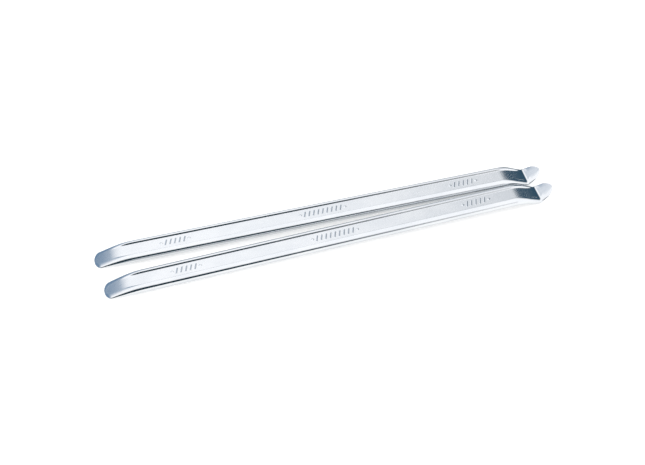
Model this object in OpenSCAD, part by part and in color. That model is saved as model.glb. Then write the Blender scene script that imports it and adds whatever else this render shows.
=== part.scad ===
// Pair of drop-forged tyre levers, lying side by side on a flat surface.
// Each lever is one forging: a bar with a rounded bead along each side of a
// sunk web, a flat spoon tip at one end, and an S bend with an upturned tip
// at the other. Millimetres, +Z up, +X along the rear lever to its upturned tip.
// The origin is under the middle of the pair, on the surface it lies on.

/* [Bar] */
// Length of one lever from tip to tip
lever_length = 450; // [360:10:600]
// Width of the bar
bar_width = 25; // [20:1:32]
// Thickness of the bar over its beads
bar_thickness = 10; // [8:0.5:12]

/* [Beads and web] */
// Width of the bead along each side, from web to edge
bead_width = 6.5; // [4:0.5:8]
// Run of the bead's inner flank, where it drops to the web
bead_flank = 1.6; // [1:0.1:2]
// Depth of the web below the beads, on both faces
web_recess = 1.7; // [0.8:0.1:2.2]

/* [Spoon end] */
// Run over which the top face slopes down to the spoon tip
spoon_slope_run = 40; // [30:1:56]
// Run over which the sides draw in to the spoon tip
spoon_taper_run = 38; // [26:1:56]
// Width of the spoon at the start of its round nose
spoon_tip_width = 18.5; // [14:0.5:22]
// Thickness of the spoon's edge
spoon_tip_thickness = 1.6; // [1.2:0.1:2.4]
// Length of the spoon's round nose
spoon_nose = 6; // [4:0.5:9]

/* [Hook end] */
// Run of the S bend that lowers the hook end
bend_run = 27; // [20:1:36]
// Run over which the bar rounds off into the S bend
bend_round = 15; // [8:1:20]
// Drop of the top face over the S bend
bend_drop = 9.5; // [6:0.5:12]
// Run of the upturned tip, from the fold to its end
tip_run = 15; // [12:1:20]
// Height that the upturned tip climbs
tip_rise = 6.5; // [3:0.5:8]
// Run over which the fold turns upwards
fold_round = 2.5; // [1.5:0.5:5]
// Width at the fold
fold_width = 22; // [17:0.5:24]
// Thickness at the fold
fold_thickness = 6; // [4.5:0.5:7]
// Width of the upturned tip at the start of its round nose
tip_width = 15; // [11:0.5:19]
// Thickness of the upturned tip's edge
tip_thickness = 1.8; // [1.2:0.1:2.4]
// Length of the upturned tip's round nose
tip_nose = 8; // [5:0.5:11]

/* [Forging marks] */
// Height of the raised marks above the web
mark_height = 0.25; // [0.15:0.05:0.5]
// Width of one raised rib
rib_width = 1.2; // [0.8:0.1:1.6]
// Length of one raised rib across the web
rib_length = 7.5; // [5:0.5:9]
// Distance from one rib to the next
rib_pitch = 4.5; // [3:0.5:7]
// Lean of the ribs in degrees
rib_lean = 20; // [0:5:30]
// Distance from the spoon tip to the middle of its mark
spoon_mark_at = 79; // [76:1:100]
// Distance from the upturned tip to the middle of its mark
hook_mark_at = 81; // [64:1:98]
// Distance from the middle of the lever to its middle mark
middle_mark_shift = 0; // [-20:1:20]
// Ribs in each end mark
end_rib_count = 5; // [3:1:7]
// Ribs in the middle mark
middle_rib_count = 9; // [5:1:13]

/* [Pair] */
// Gap between the two bars where they come closest
pair_gap = 0.8; // [0.4:0.1:10]
// Angle at which the front lever fans out, in degrees
fan_angle = 1.8; // [0:0.1:4]
// Distance by which the front lever sits further along X
front_shift = 4.3; // [0:0.1:20]

/* [Hidden] */

side_steps = 12;      // facets around the rounded side of a bead
flank_steps = 4;      // facets down a bead's inner flank
spoon_steps = 26;     // rings along the spoon end
hook_steps = 52;      // rings along the hook end
bar_steps = 4;        // rings along the straight bar
end_flat = 0.02;      // distance from a tip's end to its first ring
mark_root = 0.6;      // depth to which a mark is sunk into the web
lens_web = 0.02;      // share of the half width that stays flat where a section is a lens
spoon_margin = 4;     // run of plain bar past the spoon end that keeps its close rings
hook_margin = 8;      // the same past the hook end

half_width = bar_width / 2;
flank_share = bead_flank / bead_width;
bend_start = tip_run + bend_run;
bend_grade = bend_run - bend_round / 2;
spoon_end = max(spoon_slope_run, spoon_taper_run) + spoon_margin;
hook_end = bend_start + hook_margin;
web_top = bar_thickness - web_recess;
lozenge_size = rib_length / 3;
bead_fade_start = 0.4 * spoon_slope_run;
bead_fade_end = 0.95 * spoon_slope_run;
fold_fade = 14;       // run over which the web comes up to the beads at the fold
lens_run = 5;         // run over which the fold's section turns lens-shaped
fold_bead = 5;        // width of a bead where it meets the fold

function clamp01(t) = min(1, max(0, t));
function smooth(t) = let (c = clamp01(t)) c * c * (3 - 2 * c);
function mix(a, b, t) = a + (b - a) * t;

// Share of full size at distance d from the end of a round nose of length n
function nose(d, n) = let (t = clamp01(d / n)) sqrt(1 - (1 - t) * (1 - t));

// A ramp of slope 1 that starts with a parabola of length w
function knee(t, w) = t <= 0 ? 0 : t < w ? t * t / (2 * w) : t - w / 2;

// A section is [half width, bead width, recess, bottom height, top height],
// for x from the spoon tip, or for u from the end of the upturned tip.
function spoon_section(x) =
    let (
        taper = sin(90 * clamp01(x / spoon_taper_run)),
        full_half = mix(spoon_tip_width / 2, half_width, taper),
        half = full_half * nose(x, spoon_nose),
        edge = spoon_tip_thickness / 2,
        slope = sin(90 * clamp01(x / spoon_slope_run)),
        full_thick = mix(spoon_tip_thickness, bar_thickness, slope),
        thick = full_thick * nose(x, edge),
        bottom = edge * (1 - nose(x, edge)),
        fade = smooth((x - bead_fade_start) / (bead_fade_end - bead_fade_start))
    )
    [half, bead_width, web_recess * fade, bottom, bottom + thick];

function hook_section(u) =
    let (
        fold = knee(tip_run + fold_round / 2 - u, fold_round),
        bend = (knee(bend_start - u, bend_round) - fold) / bend_grade,
        along_tip = clamp01(u / tip_run),
        on_tip = u < tip_run,
        full_half = on_tip ? mix(tip_width, fold_width, along_tip) / 2
                           : mix(bar_width, fold_width, bend) / 2,
        half = full_half * nose(u, tip_nose),
        lens = smooth((tip_run - u) / lens_run),
        bead = mix(mix(bead_width, fold_bead, bend), half, lens),
        full_thick = on_tip ? mix(tip_thickness, fold_thickness, along_tip)
                            : mix(bar_thickness, fold_thickness, bend),
        thick = full_thick * nose(u, tip_thickness / 2),
        middle = bar_thickness - bend_drop * bend + tip_rise / tip_run * fold - full_thick / 2,
        recess = web_recess * smooth((u - tip_run) / fold_fade)
    )
    [half, bead, recess, middle - thick / 2, middle + thick / 2];

function section(x) =
    x < lever_length / 2 ? spoon_section(x) : hook_section(lever_length - x);

// Half of the outline, from the middle of the top face to the middle of the bottom
function half_outline(s) =
    let (
        half = s[0],
        bead = min(s[1], half * (1 - lens_web)),
        web = half - bead,
        crest = web + bead * flank_share,
        side = half - crest,
        thick = s[4] - s[3],
        middle = (s[3] + s[4]) / 2
    )
    [
        [0, s[4] - s[2]],
        for (i = [0 : flank_steps - 1])
            let (t = i / flank_steps)
            [mix(web, crest, t), s[4] - s[2] * (1 - smooth(t))],
        for (i = [0 : side_steps])
            let (a = 90 - 180 * i / side_steps)
            [crest + side * cos(a), middle + thick / 2 * sin(a)],
        for (i = [flank_steps - 1 : -1 : 0])
            let (t = i / flank_steps)
            [mix(web, crest, t), s[3] + s[2] * (1 - smooth(t))],
        [0, s[3] + s[2]]
    ];

// The whole outline at x, as points in space
function ring(x) =
    let (h = half_outline(section(x)), last = len(h) - 1)
    [
        for (p = h) [x, p[0], p[1]],
        for (i = [last - 1 : -1 : 1]) [x, -h[i][0], h[i][1]]
    ];

// Distances from a tip, close together at the tip and wider apart further in
function graded(run, steps) =
    [for (i = [0 : steps]) end_flat + (run - end_flat) * pow(i / steps, 2)];

spoon_stations = graded(spoon_end, spoon_steps);
hook_stations = graded(hook_end, hook_steps);
bar_run = lever_length - spoon_end - hook_end;
stations = [
    each spoon_stations,
    for (i = [1 : bar_steps - 1]) spoon_end + bar_run * i / bar_steps,
    for (i = [hook_steps : -1 : 0]) lever_length - hook_stations[i]
];
rings = [for (x = stations) ring(x)];
ring_size = len(rings[0]);
ring_count = len(rings);
skin_points = [for (r = rings) each r];

// Angle at which a lever rests on its spoon tip and its fold
heel_x = spoon_tip_thickness / 2;
rest_tilt = max([for (p = skin_points) if (p[0] > lever_length / 2) atan2(-p[2], p[0] - heel_x)]);

function tilted(p) =
    [
        p[0] * cos(rest_tilt) - p[2] * sin(rest_tilt),
        p[1],
        p[0] * sin(rest_tilt) + p[2] * cos(rest_tilt)
    ];
function fanned(p) =
    [
        p[0] * cos(fan_angle) - p[1] * sin(fan_angle),
        p[0] * sin(fan_angle) + p[1] * cos(fan_angle),
        p[2]
    ];

// Where the front lever's spoon tip lies, seen from the rear lever's, so that
// its far edge clears the rear lever's widest place by the gap
widest = max([for (p = skin_points) p[1]]);
far_reach = max([for (p = skin_points) p[1] + p[0] * sin(fan_angle)]);
front_y = -(widest + far_reach + pair_gap);
rear_placed = [for (p = skin_points) tilted(p)];
front_placed = [for (p = rear_placed) fanned(p) + [front_shift, front_y, 0]];
all_placed = concat(rear_placed, front_placed);
pair_low = [for (k = [0 : 2]) min([for (p = all_placed) p[k]])];
pair_high = [for (k = [0 : 2]) max([for (p = all_placed) p[k]])];
pair_origin = [(pair_low[0] + pair_high[0]) / 2, (pair_low[1] + pair_high[1]) / 2, pair_low[2]];

// The forging's skin: rings joined by triangles, closed by a fan at each tip
module bar_skin() {
    tip_ring = (ring_count - 1) * ring_size;
    spoon_centre = ring_count * ring_size;
    points = concat(
        skin_points,
        [(rings[0][0] + rings[0][ring_size / 2]) / 2],
        [(rings[ring_count - 1][0] + rings[ring_count - 1][ring_size / 2]) / 2]
    );
    faces = [
        for (r = [0 : ring_count - 2], k = [0 : ring_size - 1])
            let (
                a = r * ring_size + k,
                b = r * ring_size + (k + 1) % ring_size,
                c = b + ring_size,
                d = a + ring_size
            )
            each [[a, b, c], [a, c, d]],
        for (k = [0 : ring_size - 1]) [spoon_centre, (k + 1) % ring_size, k],
        for (k = [0 : ring_size - 1])
            [spoon_centre + 1, tip_ring + k, tip_ring + (k + 1) % ring_size]
    ];
    polyhedron(points = points, faces = faces, convexity = 8);
}

// One raised rib, standing on the web and leaning across it
module rib(x) {
    translate([x, 0, web_top - mark_root])
        rotate([0, 0, -rib_lean])
            linear_extrude(mark_root + mark_height)
                square([rib_width, rib_length], center = true);
}

// A lozenge that closes a row of ribs
module lozenge(x) {
    translate([x, 0, web_top - mark_root])
        rotate([0, 0, 45])
            linear_extrude(mark_root + mark_height)
                square(lozenge_size, center = true);
}

// A row of ribs with a lozenge at each end, centred on x
module mark_row(x, count) {
    for (i = [0 : count - 1])
        rib(x + (i - (count - 1) / 2) * rib_pitch);
    for (side = [-1, 1])
        lozenge(x + side * (count + 1) / 2 * rib_pitch);
}

// One whole lever with its spoon tip at the origin, before it is laid down
module forging() {
    bar_skin();
    mark_row(spoon_mark_at, end_rib_count);
    mark_row(lever_length / 2 + middle_mark_shift, middle_rib_count);
    mark_row(lever_length - hook_mark_at, end_rib_count);
}

module rear_lever() {
    color("gainsboro")
        translate(-pair_origin)
            rotate([0, -rest_tilt, 0])
                forging();
}

module front_lever() {
    color("silver")
        translate([front_shift, front_y, 0] - pair_origin)
            rotate([0, 0, fan_angle])
                rotate([0, -rest_tilt, 0])
                    forging();
}

rear_lever();
front_lever();
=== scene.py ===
"""Looks for the pair of chrome tyre levers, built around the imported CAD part.

A lever is one forging, so one smooth piece stands for each CAD node. It has the
part's own sections with finer steps, so that the chrome mirrors without facets,
and soft-edged ribs and lozenges raised from its web. Lengths are in metres, with
x from a lever's spoon tip and u from the end of its upturned tip.
"""
import math

import bpy
import numpy as np
from mathutils import Matrix, Vector


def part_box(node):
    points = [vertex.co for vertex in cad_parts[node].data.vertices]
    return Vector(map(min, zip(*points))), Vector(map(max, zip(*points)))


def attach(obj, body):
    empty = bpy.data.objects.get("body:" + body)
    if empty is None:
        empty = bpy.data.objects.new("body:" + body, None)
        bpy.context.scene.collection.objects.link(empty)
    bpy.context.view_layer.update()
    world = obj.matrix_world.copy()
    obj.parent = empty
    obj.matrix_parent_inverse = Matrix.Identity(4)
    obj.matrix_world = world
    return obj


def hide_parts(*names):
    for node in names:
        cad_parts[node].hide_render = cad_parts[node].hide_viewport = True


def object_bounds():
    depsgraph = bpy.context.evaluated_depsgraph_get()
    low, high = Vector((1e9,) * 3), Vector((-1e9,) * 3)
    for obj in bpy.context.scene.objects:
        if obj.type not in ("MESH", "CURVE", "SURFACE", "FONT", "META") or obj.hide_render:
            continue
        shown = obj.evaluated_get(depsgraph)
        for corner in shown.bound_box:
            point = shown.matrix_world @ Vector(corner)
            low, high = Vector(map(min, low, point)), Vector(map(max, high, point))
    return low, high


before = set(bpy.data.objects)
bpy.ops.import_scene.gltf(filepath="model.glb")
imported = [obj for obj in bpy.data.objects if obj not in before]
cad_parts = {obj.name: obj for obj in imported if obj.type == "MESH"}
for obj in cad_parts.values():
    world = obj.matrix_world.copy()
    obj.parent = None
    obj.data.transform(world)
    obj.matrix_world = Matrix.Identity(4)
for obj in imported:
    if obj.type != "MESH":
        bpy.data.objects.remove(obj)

MM = 0.001
CAD_LOW, CAD_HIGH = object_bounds()

# Sizes of the part, as its source has them
LEVER_LENGTH = 450 * MM
BAR_WIDTH = 25 * MM
BAR_THICKNESS = 10 * MM
BEAD_WIDTH = 6.5 * MM
BEAD_FLANK = 1.6 * MM
WEB_RECESS = 1.7 * MM
SPOON_SLOPE_RUN = 40 * MM
SPOON_TAPER_RUN = 38 * MM
SPOON_TIP_WIDTH = 18.5 * MM
SPOON_TIP_THICKNESS = 1.6 * MM
SPOON_NOSE = 6 * MM
BEND_RUN = 27 * MM
BEND_ROUND = 15 * MM
BEND_DROP = 9.5 * MM
TIP_RUN = 15 * MM
TIP_RISE = 6.5 * MM
FOLD_ROUND = 2.5 * MM
FOLD_WIDTH = 22 * MM
FOLD_THICKNESS = 6 * MM
TIP_WIDTH = 15 * MM
TIP_THICKNESS = 1.8 * MM
TIP_NOSE = 8 * MM
MARK_HEIGHT = 0.25 * MM
RIB_WIDTH = 1.2 * MM
RIB_LENGTH = 7.5 * MM
RIB_PITCH = 4.5 * MM
RIB_LEAN = math.radians(20)
SPOON_MARK_AT = 79 * MM
HOOK_MARK_AT = 81 * MM
MIDDLE_MARK_SHIFT = 0 * MM
END_RIB_COUNT = 5
MIDDLE_RIB_COUNT = 9
FAN_ANGLE = math.radians(1.8)

END_FLAT = 0.02 * MM    # from a tip's end to its first ring
LENS_WEB = 0.02         # share of the half width that stays flat where a section is a lens
FOLD_FADE = 14 * MM     # run over which the web comes up to the beads at the fold
LENS_RUN = 5 * MM       # run over which the fold's section turns lens-shaped
FOLD_BEAD = 5 * MM      # width of a bead where it meets the fold
SPOON_MARGIN = 4 * MM   # run of plain bar past the spoon end that keeps its close rings
HOOK_MARGIN = 8 * MM    # the same past the hook end
FLANK_SHARE = BEAD_FLANK / BEAD_WIDTH
BEND_START = TIP_RUN + BEND_RUN
BEND_GRADE = BEND_RUN - BEND_ROUND / 2
SPOON_END = max(SPOON_SLOPE_RUN, SPOON_TAPER_RUN) + SPOON_MARGIN
HOOK_END = BEND_START + HOOK_MARGIN
BEAD_FADE_START = 0.4 * SPOON_SLOPE_RUN
BEAD_FADE_END = 0.95 * SPOON_SLOPE_RUN

# Steps of the smooth pieces
END_STEPS = 110        # stations along each end
BAR_STEP = 4 * MM      # between stations on the plain bar
MARK_STEP = 0.3 * MM   # between stations on a row of marks
WEB_POINTS = 24        # across half of the top web
UNDER_POINTS = 6       # across half of the bottom web
FLANK_POINTS = 8       # down a bead's inner flank
SIDE_POINTS = 28       # around a bead's side
MARK_DRAFT = 0.5 * MM  # run over which a mark's edge rises
SATIN_RUN = 5 * MM     # run over which the satin of a tip sets in
SATIN_RIM = 2 * MM     # bright rim around it
TIP_SATIN = 0.4        # how satin a tip is, where the web is 1

# The chrome. Roughnesses and colours are spans, and scales are cells per metre.
BRIGHT_ROUGHNESS = (0.07, 0.13)
SATIN_ROUGHNESS = (0.2, 0.28)
PLATE_COLOURS = ((0.63, 0.652, 0.672, 1), (0.668, 0.686, 0.7, 1))
GRAIN_SCALE = 1400
DENT_SCALE = 220
DRAG_SCALE = 2600
CLOUD_SCALE = 60
GRAIN_DEPTH = 0.05 * MM
DENT_DEPTH = 0.25 * MM
BEAD_GRAIN = 0.15      # share of the web's grain that the beads have

# The camera, as the photograph was taken, with azimuth from +Y towards +X
CAMERA_AZIMUTH = 194.3
CAMERA_ELEVATION = 50
CAMERA_DISTANCE = 1170 * MM
CAMERA_TARGET = Vector((-6.7 * MM, 1.3 * MM, 0))
CAMERA_LENS = 67       # millimetres, on a sensor 36 wide

# The table, which has a part of its light from itself so that shadows stay faint
TABLE_REACH = 30
TABLE_COLOUR = (0.7, 0.7, 0.7, 1)
TABLE_GLOW = 0.45
TABLE_LIGHT = (1.4, 1.4, 1.4, 1)

# What the chrome mirrors: a bright studio with a dim strip low at the back and
# three dark sides. Each has azimuth and elevation in degrees, half width and half
# height on a sphere of radius 1, the share of it that is soft, and colour.
STUDIO_WHITE = (1.42, 1.42, 1.45, 1)
DARK_SIDES = (
    (10, 2, 1.2, 0.3, 0.4, (0.4, 0.46, 0.52, 1)),
    (60, 20, 0.85, 0.85, 0.6, (0.04, 0.1, 0.16, 1)),
    (-62, -6, 1.68, 1.35, 0.45, (0.2, 0.33, 0.5, 1)),
    (-157, 20, 0.8, 0.62, 0.35, (0.02, 0.045, 0.065, 1)),
)


def smooth(t):
    """A soft step from 0 at 0 to 1 at 1."""
    c = np.clip(t, 0, 1)
    return c * c * (3 - 2 * c)


def mix(a, b, t):
    """The value a share t of the way from a to b."""
    return a + (b - a) * t


def nose(d, n):
    """Share of full size at distance d from the end of a round nose of length n."""
    return np.sqrt(1 - (1 - np.clip(d / n, 0, 1)) ** 2)


def knee(t, w):
    """A ramp of slope 1 that starts with a parabola of length w."""
    return np.where(t < w, np.maximum(t, 0) ** 2 / (2 * w), t - w / 2)


def spoon_section(x):
    """Half width, bead width, recess, bottom height and top height at x."""
    taper = np.sin(math.pi / 2 * np.clip(x / SPOON_TAPER_RUN, 0, 1))
    half = mix(SPOON_TIP_WIDTH / 2, BAR_WIDTH / 2, taper) * nose(x, SPOON_NOSE)
    bead = np.full_like(x, BEAD_WIDTH)
    edge = SPOON_TIP_THICKNESS / 2
    slope = np.sin(math.pi / 2 * np.clip(x / SPOON_SLOPE_RUN, 0, 1))
    full_thick = mix(SPOON_TIP_THICKNESS, BAR_THICKNESS, slope)
    bottom = edge * (1 - nose(x, edge))
    fade = smooth((x - BEAD_FADE_START) / (BEAD_FADE_END - BEAD_FADE_START))
    return half, bead, WEB_RECESS * fade, bottom, bottom + full_thick * nose(x, edge)


def hook_section(u):
    """The same five values at u, on the hook end."""
    fold = knee(TIP_RUN + FOLD_ROUND / 2 - u, FOLD_ROUND)
    bend = (knee(BEND_START - u, BEND_ROUND) - fold) / BEND_GRADE
    along_tip = np.clip(u / TIP_RUN, 0, 1)
    on_tip = u < TIP_RUN
    bar_half = mix(BAR_WIDTH, FOLD_WIDTH, bend) / 2
    tip_half = mix(TIP_WIDTH, FOLD_WIDTH, along_tip) / 2
    half = np.where(on_tip, tip_half, bar_half) * nose(u, TIP_NOSE)
    lens = smooth((TIP_RUN - u) / LENS_RUN)
    bead = mix(mix(BEAD_WIDTH, FOLD_BEAD, bend), half, lens)
    bar_thick = mix(BAR_THICKNESS, FOLD_THICKNESS, bend)
    tip_thick = mix(TIP_THICKNESS, FOLD_THICKNESS, along_tip)
    full_thick = np.where(on_tip, tip_thick, bar_thick)
    thick = full_thick * nose(u, TIP_THICKNESS / 2)
    climb = TIP_RISE / TIP_RUN * fold
    middle = BAR_THICKNESS - BEND_DROP * bend + climb - full_thick / 2
    recess = WEB_RECESS * smooth((u - TIP_RUN) / FOLD_FADE)
    return half, bead, recess, middle - thick / 2, middle + thick / 2


def sections(x):
    """The five values of the section at every station in x."""
    spoon = np.array(spoon_section(x))
    hook = np.array(hook_section(LEVER_LENGTH - x))
    return np.where(x < LEVER_LENGTH / 2, spoon, hook)


def mark_rows():
    """The middle and the rib count of each row of marks."""
    return (
        (SPOON_MARK_AT, END_RIB_COUNT),
        (LEVER_LENGTH / 2 + MIDDLE_MARK_SHIFT, MIDDLE_RIB_COUNT),
        (LEVER_LENGTH - HOOK_MARK_AT, END_RIB_COUNT),
    )


def graded(run):
    """Distances from a tip, close together there and wider apart further in."""
    return END_FLAT + (run - END_FLAT) * np.linspace(0, 1, END_STEPS + 1) ** 2


def stations():
    """Places along a lever where its mesh has a ring."""
    bar = np.arange(SPOON_END + BAR_STEP, LEVER_LENGTH - HOOK_END, BAR_STEP)
    for middle, count in mark_rows():
        reach = (count + 2) / 2 * RIB_PITCH
        bar = bar[abs(bar - middle) > reach + MARK_STEP]
        bar = np.concatenate([bar, np.arange(middle - reach, middle + reach, MARK_STEP)])
    ends = [graded(SPOON_END), LEVER_LENGTH - graded(HOOK_END)]
    return np.sort(np.concatenate([bar, *ends]))


def block(x, y, middle, size, turn):
    """1 on a turned rectangle and 0 off it, with a sloping edge."""
    along = (x - middle) * math.cos(turn) + y * math.sin(turn)
    across = y * math.cos(turn) - (x - middle) * math.sin(turn)
    outside = np.maximum(abs(along) - size[0] / 2, abs(across) - size[1] / 2)
    return smooth(-outside / MARK_DRAFT)


def mark_heights(x, y):
    """How far the marks rise from the web at each point."""
    raised = np.zeros(np.broadcast(x, y).shape)
    lozenge = (RIB_LENGTH / 3, RIB_LENGTH / 3)
    for middle, count in mark_rows():
        for i in range(count):
            at = middle + (i - (count - 1) / 2) * RIB_PITCH
            raised = np.maximum(raised, block(x, y, at, (RIB_WIDTH, RIB_LENGTH), -RIB_LEAN))
        for side in (-1, 1):
            at = middle + side * (count + 1) / 2 * RIB_PITCH
            raised = np.maximum(raised, block(x, y, at, lozenge, math.pi / 4))
    return raised


def half_outline(x):
    """Half of every ring, from the middle of the top to the middle of the bottom.

    Returns across, height, and the share of the web's depth, each stations x points.
    """
    half, bead, recess, bottom, top = (v[:, None] for v in sections(x))
    web = half - np.minimum(bead, half * (1 - LENS_WEB))
    crest = mix(web, half, FLANK_SHARE)
    side = half - crest
    middle = (bottom + top) / 2
    thick = top - bottom
    flank = np.arange(FLANK_POINTS) / FLANK_POINTS
    turn = np.linspace(math.pi / 2, -math.pi / 2, SIDE_POINTS + 1)
    over = np.linspace(0, 1, WEB_POINTS, endpoint=False)
    under = np.linspace(1, 0, UNDER_POINTS + 1)[1:]
    flank_across = mix(web, crest, flank)
    depth = 1 - smooth(flank)
    across = [
        over * web,
        flank_across,
        crest + side * np.cos(turn),
        flank_across[:, ::-1],
        under * web,
    ]
    height = [
        top - recess + 0 * over,
        top - recess * depth,
        middle + thick / 2 * np.sin(turn),
        bottom + recess * depth[::-1],
        bottom + recess + 0 * under,
    ]
    sunk = [1 + 0 * over, depth, 0 * turn, depth[::-1], 1 + 0 * under]
    shape = (len(x), 1)
    share = np.tile(np.concatenate(sunk), shape) * recess / WEB_RECESS
    return np.concatenate(across, 1), np.concatenate(height, 1), share


def lever_rings(x):
    """Every ring as points before the lever is laid down, and how satin each point is."""
    across, height, share = half_outline(x)
    on_top = np.arange(across.shape[1]) < WEB_POINTS + FLANK_POINTS
    across = np.concatenate([across, -across[:, -2:0:-1]], 1)
    height = np.concatenate([height, height[:, -2:0:-1]], 1)
    share = np.concatenate([share, share[:, -2:0:-1]], 1)
    on_top = np.concatenate([on_top, on_top[-2:0:-1]])
    along = np.repeat(x[:, None], across.shape[1], 1)
    raised = mark_heights(along, across) * on_top * share
    points = np.stack([along, across, height + raised * MARK_HEIGHT], -1)
    spoon = smooth((SPOON_SLOPE_RUN - along) / SATIN_RUN)
    hook = smooth((TIP_RUN - (LEVER_LENGTH - along)) / SATIN_RUN)
    facing = smooth((sections(x)[0][:, None] - abs(across)) / SATIN_RIM)
    return points, np.maximum(share * (1 - raised), TIP_SATIN * (spoon + hook) * facing)


def rest_tilt(points):
    """Angle at which a lever rests on its spoon tip and its fold."""
    hook = points[points[..., 0] > LEVER_LENGTH / 2]
    return np.arctan2(-hook[:, 2], hook[:, 0] - SPOON_TIP_THICKNESS / 2).max()


def lever_faces(rings, size):
    """Quads between rings, and a fan of triangles closing each tip."""
    first = np.arange(rings - 1)[:, None] * size
    k = np.arange(size)[None]
    after = (k + 1) % size
    quads = np.stack([first + k, first + after, first + size + after, first + size + k], -1)
    faces = quads.reshape(-1, 4).tolist()
    spoon_centre = rings * size
    last = (rings - 1) * size
    for i in range(size):
        j = (i + 1) % size
        faces.append((spoon_centre, j, i))
        faces.append((spoon_centre + 1, last + i, last + j))
    return faces


def laid_down(points, tilt, turn, node):
    """The points on the table, fitted to their node's box."""
    laid = Matrix.Rotation(turn, 3, "Z") @ Matrix.Rotation(-tilt, 3, "Y")
    placed = points @ np.array(laid).T
    low, high = (np.array(corner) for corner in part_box(node))
    return low + (placed - placed.min(0)) * (high - low) / np.ptp(placed, axis=0)


def add_object(name, data):
    """A new object in the scene, with a mesh or a camera's data."""
    new = bpy.data.objects.new(name, data)
    bpy.context.scene.collection.objects.link(new)
    return new


def lever_piece(name, node, turn):
    """A smooth lever in its node's place, turned by an angle about the vertical."""
    points, satin = lever_rings(stations())
    tips = np.stack([points[0].mean(0), points[-1].mean(0)])
    flat = np.concatenate([points.reshape(-1, 3), tips])
    placed = laid_down(flat, rest_tilt(points), turn, node)
    mesh = bpy.data.meshes.new(name)
    mesh.from_pydata(placed.tolist(), [], lever_faces(*satin.shape))
    place = mesh.attributes.new("place", "FLOAT_VECTOR", "POINT")
    place.data.foreach_set("vector", flat.ravel())
    mask = mesh.attributes.new("satin", "FLOAT", "POINT")
    mask.data.foreach_set("value", np.append(satin.ravel(), (0, 0)))
    mesh.shade_smooth()
    return add_object(name, mesh)


class Nodes:
    """A short way to add and join the nodes of one material or world."""

    def __init__(self, owner):
        owner.use_nodes = True
        self.tree = owner.node_tree
        self.tree.nodes.clear()

    def feed(self, socket, value):
        """Joins another node's output to a socket, or sets it to a constant."""
        if isinstance(value, bpy.types.NodeSocket):
            self.tree.links.new(value, socket)
        else:
            socket.default_value = value

    def add(self, kind, settings=None, **inputs):
        node = self.tree.nodes.new(kind)
        for key, value in (settings or {}).items():
            setattr(node, key, value)
        for key, value in inputs.items():
            self.feed(node.inputs[key.replace("_", " ")], value)
        return node

    def fit(self, value, low, high, to_low, to_high):
        """Maps value from one span to another, with soft ends."""
        node = self.add(
            "ShaderNodeMapRange",
            {"interpolation_type": "SMOOTHSTEP"},
            Value=value,
            From_Min=low,
            From_Max=high,
            To_Min=to_low,
            To_Max=to_high,
        )
        return node.outputs["Result"]

    def blend(self, share, first, second):
        """A colour between two colours."""
        node = self.add("ShaderNodeMix", {"data_type": "RGBA"})
        self.feed(node.inputs[0], share)
        self.feed(node.inputs[6], first)
        self.feed(node.inputs[7], second)
        return node.outputs[2]

    def math(self, operation, *values):
        node = self.add("ShaderNodeMath", {"operation": operation})
        for socket, value in zip(node.inputs, values):
            self.feed(socket, value)
        return node.outputs[0]

    def noise(self, stretch, scale, detail, shift):
        """Noise over a lever's own places, stretched by a factor on each axis."""
        place = self.add("ShaderNodeAttribute", {"attribute_name": "place"}).outputs["Vector"]
        moved = self.add("ShaderNodeMapping", Vector=place, Scale=stretch, Location=shift)
        node = self.add("ShaderNodeTexNoise", Vector=moved.outputs[0], Scale=scale, Detail=detail)
        return node.outputs["Fac"]


def chrome_roughness(n, grain, satin, shift):
    """Fine drag lines on the bright beads, and the forging's grain where it is satin."""
    drag = n.noise((0.06, 1, 1), DRAG_SCALE, 2, shift)
    dull = n.fit(grain, 0.3, 0.7, *SATIN_ROUGHNESS)
    bright = n.fit(drag, 0.45, 0.75, *BRIGHT_ROUGHNESS)
    return n.math("MULTIPLY_ADD", n.math("SUBTRACT", dull, bright), satin, bright)


def chrome_normal(n, grain, satin, shift):
    """Forging grain over broad shallow dents."""
    dents = n.noise((0.6, 1, 1), DENT_SCALE, 2, shift)
    height = n.math("MULTIPLY", grain, n.fit(satin, 0, 1, BEAD_GRAIN, 1))
    fine = n.add("ShaderNodeBump", Height=height, Strength=0.25, Distance=GRAIN_DEPTH)
    broad = n.add(
        "ShaderNodeBump",
        Height=dents,
        Strength=0.2,
        Distance=DENT_DEPTH,
        Normal=fine.outputs[0],
    )
    return broad.outputs[0]


def chrome(name, shift):
    """Bright plate on the beads, satin over forging grain in the web and on the tips."""
    material = bpy.data.materials.new(name)
    n = Nodes(material)
    satin = n.add("ShaderNodeAttribute", {"attribute_name": "satin"}).outputs["Fac"]
    grain = n.noise((1, 1, 1), GRAIN_SCALE, 4, shift)
    cloud = n.noise((0.5, 1, 1), CLOUD_SCALE, 3, shift)
    shader = n.add(
        "ShaderNodeBsdfPrincipled",
        Base_Color=n.blend(n.fit(cloud, 0.35, 0.65, 0, 1), *PLATE_COLOURS),
        Metallic=1.0,
        Roughness=chrome_roughness(n, grain, satin, shift),
        Normal=chrome_normal(n, grain, satin, shift),
    )
    n.add("ShaderNodeOutputMaterial", Surface=shader.outputs[0])
    return material


def direction_to(azimuth, elevation):
    """A unit vector, with azimuth in degrees from +Y towards +X."""
    a = math.radians(azimuth)
    e = math.radians(elevation)
    return Vector((math.sin(a) * math.cos(e), math.cos(a) * math.cos(e), math.sin(e)))


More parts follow.
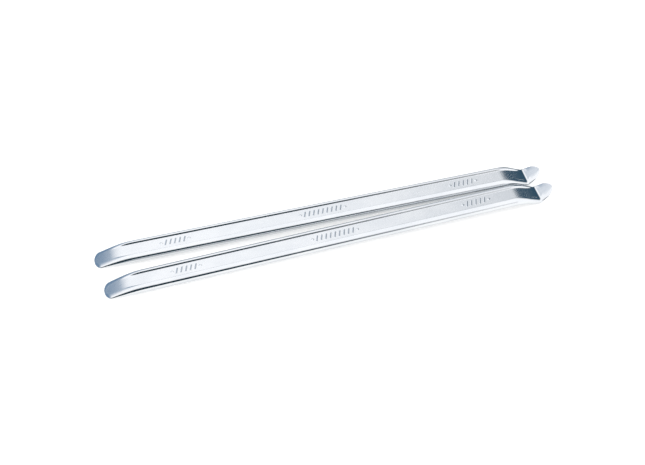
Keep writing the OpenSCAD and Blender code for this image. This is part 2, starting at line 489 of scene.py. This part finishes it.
def studio_light():
    """A white studio with soft dark sides in reflections, and even light elsewhere."""
    world = bpy.data.worlds.new("studio")
    n = Nodes(world)
    direction = n.add("ShaderNodeTexCoord").outputs["Generated"]
    colour = STUDIO_WHITE
    for azimuth, elevation, width, height, soft, dark in DARK_SIDES:
        centre = direction_to(azimuth, elevation)
        local = n.add(
            "ShaderNodeMapping",
            {"vector_type": "TEXTURE"},
            Vector=direction,
            Location=centre,
            Rotation=centre.to_track_quat("Z", "Y").to_euler(),
            Scale=(width, height, 1),
        )
        ball = {"gradient_type": "SPHERICAL"}
        near = n.add("ShaderNodeTexGradient", ball, Vector=local.outputs[0]).outputs["Fac"]
        colour = n.blend(n.fit(near, 0, soft, 0, 1), colour, dark)
    glossy = n.add("ShaderNodeLightPath").outputs["Is Glossy Ray"]
    mirrored = n.add("ShaderNodeBackground", Color=colour)
    even = n.add("ShaderNodeBackground", Color=TABLE_LIGHT)
    pick = n.add("ShaderNodeMixShader")
    for socket, value in zip(pick.inputs, (glossy, even.outputs[0], mirrored.outputs[0])):
        n.feed(socket, value)
    n.add("ShaderNodeOutputWorld", Surface=pick.outputs[0])
    bpy.context.scene.world = world


def table():
    """A plain white table under the levers."""
    mesh = bpy.data.meshes.new("floor")
    signs = ((-1, -1), (1, -1), (1, 1), (-1, 1))
    corners = [(x * TABLE_REACH, y * TABLE_REACH, CAD_LOW.z) for x, y in signs]
    mesh.from_pydata(corners, [], [(0, 1, 2, 3)])
    material = bpy.data.materials.new("white_table")
    n = Nodes(material)
    shader = n.add(
        "ShaderNodeBsdfPrincipled",
        Base_Color=TABLE_COLOUR,
        Roughness=0.8,
        Specular_IOR_Level=0.0,
        Emission_Color=(1, 1, 1, 1),
        Emission_Strength=TABLE_GLOW,
    )
    n.add("ShaderNodeOutputMaterial", Surface=shader.outputs[0])
    mesh.materials.append(material)
    add_object("floor", mesh)


def camera():
    """The camera, looking at its target from the photograph's side."""
    back = direction_to(CAMERA_AZIMUTH, CAMERA_ELEVATION)
    data = bpy.data.cameras.new("camera")
    data.lens = CAMERA_LENS
    eye = add_object("camera", data)
    eye.location = CAMERA_TARGET + CAMERA_DISTANCE * back
    eye.rotation_euler = back.to_track_quat("Z", "Y").to_euler()
    bpy.context.scene.camera = eye


LEVERS = (
    ("rear_forging", "rear_lever", "rear_chrome", 0, (0, 0, 0)),
    ("front_forging", "front_lever", "front_chrome", FAN_ANGLE, (7, 3, 1)),
)

for piece_name, node, slot, turn, shift in LEVERS:
    lever = lever_piece(piece_name, node, turn)
    lever.data.materials.append(chrome(slot, shift))
    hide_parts(node)
    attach(lever, node)

table()
camera()
studio_light()
bpy.context.scene.view_settings.view_transform = "Standard"
